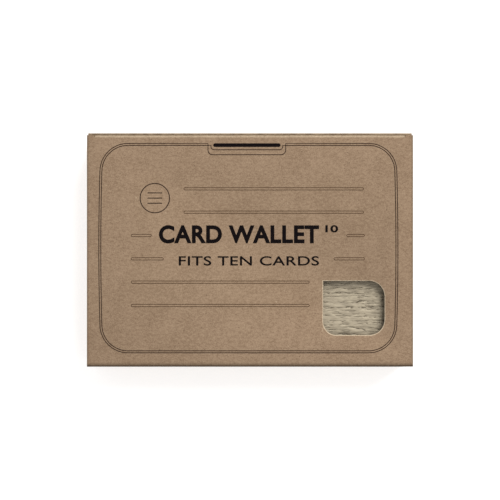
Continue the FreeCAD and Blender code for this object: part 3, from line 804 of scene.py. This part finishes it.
left_side = notch_side(-1, NOTCH_HALF, NOTCH_DEEP, NOTCH_ROUND)
right_side = notch_side(1, NOTCH_HALF, NOTCH_DEEP, NOTCH_ROUND)
outer = wallet_line(0) + right_side + left_side[::-1]
inner = [(left_side[0][0], HALF_WIDE - LINE_GAP), *wallet_line(LINE_GAP),
         (right_side[0][0], HALF_WIDE - LINE_GAP)]
cup_left, cup_right = (
    [(x, y - LINE_GAP) for x, y in notch_side(sign, CUP_HALF, CUP_DEEP, CUP_ROUND)]
    for sign in (-1, 1))
cup = [(left_side[0][0], HALF_WIDE - LINE_GAP), *cup_left, *cup_right[::-1],
       (right_side[0][0], HALF_WIDE - LINE_GAP)]
printed("print_outline", [(outer, True), (inner, False), (cup, False)], LINE, LINE_INK)
bar_y, bar_half = HALF_WIDE - BAR_THICK / 2 + BAR_RISE, BAR_THICK / 2
bar = [(PRINT_X + x * MM, PRINT_Y + y * MM)
       for end, start in ((NOTCH_MIDDLE + BAR_HALF, -90), (NOTCH_MIDDLE - BAR_HALF, 90))
       for x, y in arc((end - math.copysign(bar_half, -start), bar_y), bar_half, start, 180,
                       TURN_STEPS)]
bar_mesh = prism(bar, 2, INK_LEVEL - INK_HEIGHT / 2, INK_LEVEL + INK_HEIGHT / 2)
bar_mesh.materials.append(INK)
lid_print(new_object("print_latch_bar", bar_mesh))


def lozenge(left, right, y):
    half = LOZENGE_HALF
    return (arc((right - half, y), half, -90, 180, TURN_STEPS)
            + arc((left + half, y), half, 90, 180, TURN_STEPS)), True


rows = [ROW_SHIFT + ROW_PITCH * ((ROWS - 1) / 2 - n) for n in range(ROWS)]
lozenges = [lozenge(left, right, rows[row]) for row, left, right in LOZENGES]
printed("print_lozenges", lozenges, FAINT_LINE, FAINT_INK)
print("printed rows", [round(r, 1) for r in rows])

# %% [markdown]
# ## A plain mark and plain words
# The printed mark is a ring round three strokes, for a stack of cards, and the words only say what
# the object is and what it holds. Lettering starts as a text object in the built-in face, made bold
# by swelling its outline, and is turned into a mesh that is scaled to the size it should print at.

# %% Mark and words
MARK_X, MARK_Y, MARK_RADIUS = -34.4, 18.4, 5.4
CARD_HALF, CARD_PITCH = 2.7, 1.9
MARK_LINE = 0.36
ring = arc((MARK_X, MARK_Y), MARK_RADIUS, 0, 360, 48)[:-1], True
cards = [([(MARK_X + side * CARD_HALF, MARK_Y + n * CARD_PITCH) for side in (-1, 1)], False)
         for n in (-1, 0, 1)]
printed("print_mark", [ring, *cards], MARK_LINE, LINE_INK)


def words(name, text, left, right, low, high, swell, spacing, ink):
    """A line of lettering that fills a box, in millimetres from the drawing's middle."""
    curve = bpy.data.curves.new(name, "FONT")
    curve.body = text
    curve.size = 1.0
    curve.offset = swell
    curve.space_character = spacing
    curve.resolution_u = 6
    source = new_object(name + "_text", curve)
    source.data.extrude = 0.5
    graph = bpy.context.evaluated_depsgraph_get()
    mesh = bpy.data.meshes.new_from_object(source.evaluated_get(graph), depsgraph=graph)
    bpy.data.objects.remove(source)
    xs = [v.co.x for v in mesh.vertices]
    ys = [v.co.y for v in mesh.vertices]
    across = (right - left) * MM / (max(xs) - min(xs))
    up = (high - low) * MM / (max(ys) - min(ys))
    for v in mesh.vertices:
        v.co = (PRINT_X + left * MM + (v.co.x - min(xs)) * across,
                PRINT_Y + low * MM + (v.co.y - min(ys)) * up,
                INK_LEVEL + v.co.z * INK_HEIGHT)
    facing_out(mesh, MERGE)
    mesh.name = name
    mesh.materials.clear()
    mesh.materials.append(ink)
    print(name, "letter stretch", round(across / up, 3))
    return lid_print(new_object(name, mesh))


words("print_title", "CARD WALLET", -32.9, 26.0, 1.7, 8.45, 0.036, 1.06, INK)
words("print_count", "10", 28.3, 33.0, 5.75, 8.45, 0.030, 1.0, INK)
words("print_subtitle", "FITS TEN CARDS", -25.6, 26.0, -6.45, -2.95, 0.012, 1.05, INK)

# %% [markdown]
# ## The wallet's shells
# Each shell is a pan of aluminium sheet, embossed all over before it was pressed: long shallow
# wrinkles run along the wallet and break off, like bark. The pan is built in rings from its rim, up
# the side, round the edge and in to the middle, and each point remembers where it lay on the flat
# sheet. A Geometry Nodes tree then presses the wrinkles in on those sheet coordinates, so that they
# run round the edge without stretching. The latch's notch and the hinge's clearance are cut last.

# %% Rings of a pan
EDGE_RADIUS = 8.0 * MM
SKIN = 0.8 * MM
RIM_GAP = 0.15 * MM
SPINE_HALF = 30.0 * MM
SHEET_OFFSET = 40.0  # mm; sets the two shells' patterns apart
FADE_RINGS = 3  # the embossing fades in over this many rings from the rim
RIM_STEPS, EDGE_STEPS, FLAT_STEPS = 4, 26, 96
INNER_STEPS = (2, 9, 5)
pin_low, pin_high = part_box("hinge_pin")
HINGE = (pin_low + pin_high) / 2
MIDDLE = Vector((0, (back_low.y + back_high.y) / 2, HINGE.z))
HALF_DEPTH = MIDDLE.z - back_low.z
PLAN = outline(corner_steps=30, side_steps=70, long_steps=110)
CORNER_X = max(x for x, y, nx, ny in PLAN if ny == 1.0)


def pan_rings(thick, steps):
    """Rings from the rim to the middle: each point is (x, y, height) and its place on the sheet."""
    rim, edge, flat = steps
    radius = EDGE_RADIUS - thick
    top = HALF_DEPTH - thick
    profile = [(0.0, RIM_GAP + (top - radius - RIM_GAP) * n / rim) for n in range(rim)]
    for n in range(edge + 1):
        turn = math.radians(90) * n / edge
        profile.append((radius - radius * math.cos(turn), top - radius + radius * math.sin(turn)))
    lengths = [0.0]
    for (d0, z0), (d1, z1) in pairwise(profile):
        lengths.append(lengths[-1] + math.hypot(d1 - d0, z1 - z0))
    rings = []
    for (deep, height), done in zip(profile, lengths):
        reach = lengths[-1] - done
        rings.append([((x - nx * (thick + deep), y - ny * (thick + deep), height),
                       (x - nx * (EDGE_RADIUS - reach), y - ny * (EDGE_RADIUS - reach)))
                      for x, y, nx, ny in PLAN])
    shoulder = [place for place, _ in rings[-1]]
    for n in range(1, flat + 1):
        share = n / flat
        ring = []
        for x, y, height in shoulder:
            spine = max(-1.0, min(1.0, x / CORNER_X)) * SPINE_HALF
            spot = (x + (spine - x) * share, y * (1 - share))
            ring.append(((*spot, height), spot))
        rings.append(ring)
    return rings


def pan_mesh(name, side):
    """A closed pan: skin outside, skin inside, joined at the rim. side 1 opens down, -1 up."""
    outside = pan_rings(0.0, (RIM_STEPS, EDGE_STEPS, FLAT_STEPS))
    inside = pan_rings(SKIN, INNER_STEPS)
    rings = outside[::-1] + inside
    count = len(PLAN)
    points = [(x, y + MIDDLE.y, MIDDLE.z + side * z) for ring in rings for (x, y, z), _ in ring]
    faces = []
    for r in range(len(rings) - 1):
        for c in range(count):
            a, b = r * count + c, r * count + (c + 1) % count
            faces.append((a, b, b + count, a + count))
    mesh = bpy.data.meshes.new(name)
    mesh.from_pydata(points, [], faces)
    sheet = mesh.attributes.new("sheet", "FLOAT_VECTOR", "POINT")
    places = [(x / MM, y / MM, side * SHEET_OFFSET) for ring in rings for _, (x, y) in ring]
    sheet.data.foreach_set("vector", [c for place in places for c in place])
    skin = mesh.attributes.new("skin", "FLOAT", "POINT")
    fade = [min(1.0, n / FADE_RINGS) for n in range(len(outside))][::-1] + [0.0] * len(inside)
    skin.data.foreach_set("value", [level for level in fade for _ in range(count)])
    return facing_out(mesh, MERGE)


print("plan points", len(PLAN))

# %% The embossing tree
def emboss_group():
    group, wires = geometry_group("emboss", [("Depth", "NodeSocketFloat"),
                                             ("Finish", "NodeSocketMaterial")])

    def attribute(name, kind):
        return add_node(group, "GeometryNodeInputNamedAttribute", {"data_type": kind},
                        {"Name": name})

    creases, swell = wrinkles(attribute("sheet", "FLOAT_VECTOR"), 0.55)
    height = (swell - 0.5 * creases) * wires["Depth"] * attribute("skin", "FLOAT")
    normal = add_node(group, "GeometryNodeInputNormal")
    offset = add_node(group, "ShaderNodeVectorMath", {"operation": "SCALE"},
                      {"Vector": normal, "Scale": height})
    pressed = add_node(group, "GeometryNodeSetPosition", None,
                       {"Geometry": wires["Geometry"], "Offset": offset})
    close_group(group, pressed, wires["Finish"])
    return group


EMBOSS = emboss_group()
NOTCH_GAP = 0.15 * MM
NOTCH_CORNER = 2.5 * MM
FAR = 0.2
SWING_HALF = math.radians(28.0)
KNUCKLE_ROOM = 2.4 * MM
KNUCKLE_END_ROOM = KNUCKLE_ROOM / 4
EMBOSS_DEPTH = 0.35 * MM
SHELL_SMOOTH = math.radians(50)


def notch_prism():
    low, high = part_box("latch_housing")
    half, rear = high.x + NOTCH_GAP, low.y - NOTCH_GAP
    turn = NOTCH_CORNER
    plan = [(-half, FAR), *arc((-half + turn, rear + turn), turn, 180, 90, 8),
            *arc((half - turn, rear + turn), turn, 270, 90, 8), (half, FAR)]
    return prism(plan, 2, MIDDLE.z - RIM_GAP, FAR)


def hinge_prisms():
    apex = HINGE.y + 2 * RIM_GAP
    rise = FAR * math.tan(SWING_HALF)
    wedge = prism([(apex, HINGE.z), (apex - FAR, HINGE.z + rise), (apex - FAR, HINGE.z - rise)],
                  0, -FAR, FAR)
    end = pin_high.x + KNUCKLE_END_ROOM
    back, front = HINGE.y - FAR, HINGE.y + KNUCKLE_ROOM
    low, high = HINGE.z - KNUCKLE_ROOM, HINGE.z + KNUCKLE_ROOM
    trough = prism([(back, low), (front, low), (front, high), (back, high)], 0, -end, end)
    return [wedge, trough]


def wallet_shell(node, side, cutters):
    name = node + "_embossed"
    piece = new_object(name, pan_mesh(name, side))
    run_group(piece, EMBOSS, {"Depth": EMBOSS_DEPTH, "Finish": LACQUER})
    for mesh in cutters:
        tool = new_object("cutter", mesh)
        cut = piece.modifiers.new("cut", "BOOLEAN")
        cut.object = tool
        cut.operation = "DIFFERENCE"
        cut.solver = "EXACT"
        to_mesh(piece, name)
        bpy.data.objects.remove(tool)
    piece.data.materials.clear()
    piece.data.materials.append(LACQUER)
    smooth(piece.data, SHELL_SMOOTH)
    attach(piece, BODY_OF[node])
    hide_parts(node)
    print(name, "faces", len(piece.data.polygons))
    return piece


wallet_shell("front_shell", 1, [notch_prism(), *hinge_prisms()])
wallet_shell("back_shell", -1, hinge_prisms())

# %% [markdown]
# ## Pleated gussets
# A strip of thin plastic closes each side of the pockets and folds inwards between one leaf and the
# next. When the wallet fans open every pleat opens with it. So each pleat is a piece of its own,
# with fine rows across its fold, between the two leaves that it joins.

# %% Gussets
PLEAT_ROWS = 10
PLEAT_THICK = 0.2 * MM
PLEAT_DEPTH = 5.4 * MM
PLEAT_SMOOTH = math.radians(60)
PLEAT_COLUMNS = 40
PLEAT_SOFTNESS = 0.35  # how round the fold is, from 0, a knife edge, to 1


def pleat_path(outer, inner, low, high):
    """Middle line of a pleat from one leaf's end to the next: (x, z), with a rounded fold."""
    found = []
    for n in range(2 * PLEAT_ROWS + 1):
        share = n / (2 * PLEAT_ROWS)
        knife = 1 - abs(2 * share - 1)
        wave = math.sin(math.pi * share)
        found.append((outer + (inner - outer) * (knife + (wave - knife) * PLEAT_SOFTNESS),
                      low + (high - low) * share))
    return found


def pleat_mesh(name, path, rear, front):
    """Thickens the line and runs it from rear to front as a closed skin."""
    sides = ([], [])
    for n, (x, z) in enumerate(path):
        x0, z0 = path[max(n - 1, 0)]
        x1, z1 = path[min(n + 1, len(path) - 1)]
        long = math.hypot(x1 - x0, z1 - z0)
        out = (z1 - z0) / long * PLEAT_THICK / 2, -(x1 - x0) / long * PLEAT_THICK / 2
        sides[0].append((x + out[0], z + out[1]))
        sides[1].append((x - out[0], z - out[1]))
    loop = sides[0] + sides[1][::-1]
    count = len(loop)
    points = [(x, rear + (front - rear) * c / PLEAT_COLUMNS, z)
              for c in range(PLEAT_COLUMNS + 1) for x, z in loop]
    faces = [(c * count + r, c * count + (r + 1) % count, (c + 1) * count + (r + 1) % count,
              (c + 1) * count + r) for c in range(PLEAT_COLUMNS) for r in range(count)]
    faces += [tuple(range(count)), tuple(range(PLEAT_COLUMNS * count, len(points)))]
    return mesh_from(name, points, faces)


LEAVES = [f"leaf_{n}" for n in range(1, 7)]
CHAIN = ["carton", *LEAVES, "wallet_lid"]
POCKET_LEAVES = [f"pocket_{leaf}" for leaf in LEAVES]
leaf_boxes = [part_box(node) for node in POCKET_LEAVES]
levels = [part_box("pocket_end_base")[1].z, *[(a.z + b.z) / 2 for a, b in leaf_boxes],
          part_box("pocket_end_lid")[0].z]
gusset_low, gusset_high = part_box("pocket_gusset_right")
gusset_outer = gusset_high.x - PLEAT_THICK / 2
gusset_inner = gusset_outer - PLEAT_DEPTH
for hand, sign in (("right", 1), ("left", -1)):
    for n, ((low, high), (body_a, body_b)) in enumerate(zip(pairwise(levels), pairwise(CHAIN)), 1):
        first = low + (PLEAT_THICK if n == 1 else 0)
        last = high - (PLEAT_THICK if n == len(CHAIN) - 1 else 0)
        path = pleat_path(gusset_outer, gusset_inner, first, last)
        name = f"gusset_{hand}_{n}"
        piece = new_object(name, pleat_mesh(name, [(sign * x, z) for x, z in path],
                                            gusset_low.y, gusset_high.y))
        smooth(piece.data, PLEAT_SMOOTH)
        piece.data.materials.append(POCKET_PLASTIC)
        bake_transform(piece)
        if n == 1:
            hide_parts(f"pocket_gusset_{hand}")
print("pleats", 2 * (len(CHAIN) - 1))

# %% [markdown]
# ## The rest of the wallet
# Frames, pockets, hinge pin and latch keep their CAD shape with softened edges. The latch's two
# bowed springs flatten as the button is pressed, and the clasp's tongue bends back with it; here
# both are plain copies of their CAD shape with smooth shading.

# %% Frames, pockets and latch
MOULDED_EDGE, SHEET_EDGE, METAL_EDGE = 0.15 * MM, 0.10 * MM, 0.08 * MM
for node in ("back_frame", "front_frame", "latch_housing", "latch_button"):
    soften(node, MOULDED_EDGE)
for node in ("pocket_end_base", "pocket_end_lid", *POCKET_LEAVES):
    soften(node, SHEET_EDGE)
for node in ("hinge_pin", "catch_plate"):
    soften(node, METAL_EDGE)


def loose_copy(node, name):
    piece = new_object(name, merged_copy(node))
    smooth(piece.data)
    return stand_for(piece, node)


springs = loose_copy("latch_springs", "latch_springs_bowed")
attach(springs, "wallet_lid")
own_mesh(springs)
tongue = loose_copy("clasp_tongue", "clasp_tongue_sprung")
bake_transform(tongue)
